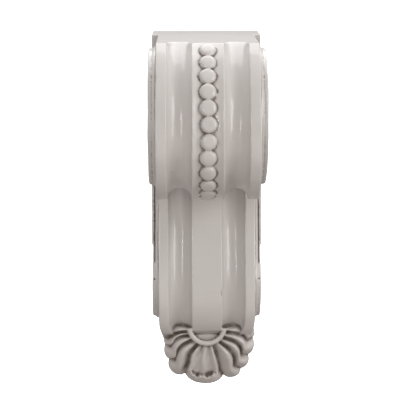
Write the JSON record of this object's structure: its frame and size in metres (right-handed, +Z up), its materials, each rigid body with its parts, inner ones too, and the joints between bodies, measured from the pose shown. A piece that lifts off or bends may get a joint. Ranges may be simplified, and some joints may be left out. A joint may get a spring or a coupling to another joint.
{
  "type": "scroll corbel",
  "caption": "Painted scroll corbel: a fluted, beaded ribbon rolls into a large volute above and a smaller scroll below, over a spread leaf. Flat back for a wall, flat top to carry a ledge.",
  "frame": {"origin": "middle of the flat back face, in the plane of the wall", "axes": "+Z up, the front looks along -Y, the wall is the plane Y = 0, +X to the viewer's right"},
  "size_m": [0.118, 0.2327, 0.3586],
  "materials": {
    "grey_paint": "satin warm-grey paint over carved wood, with a thin brown glaze left in the recesses"
  },
  "bodies": {
    "root": {"scroll_corbel": "grey_paint"}
  },
  "joints": []
}
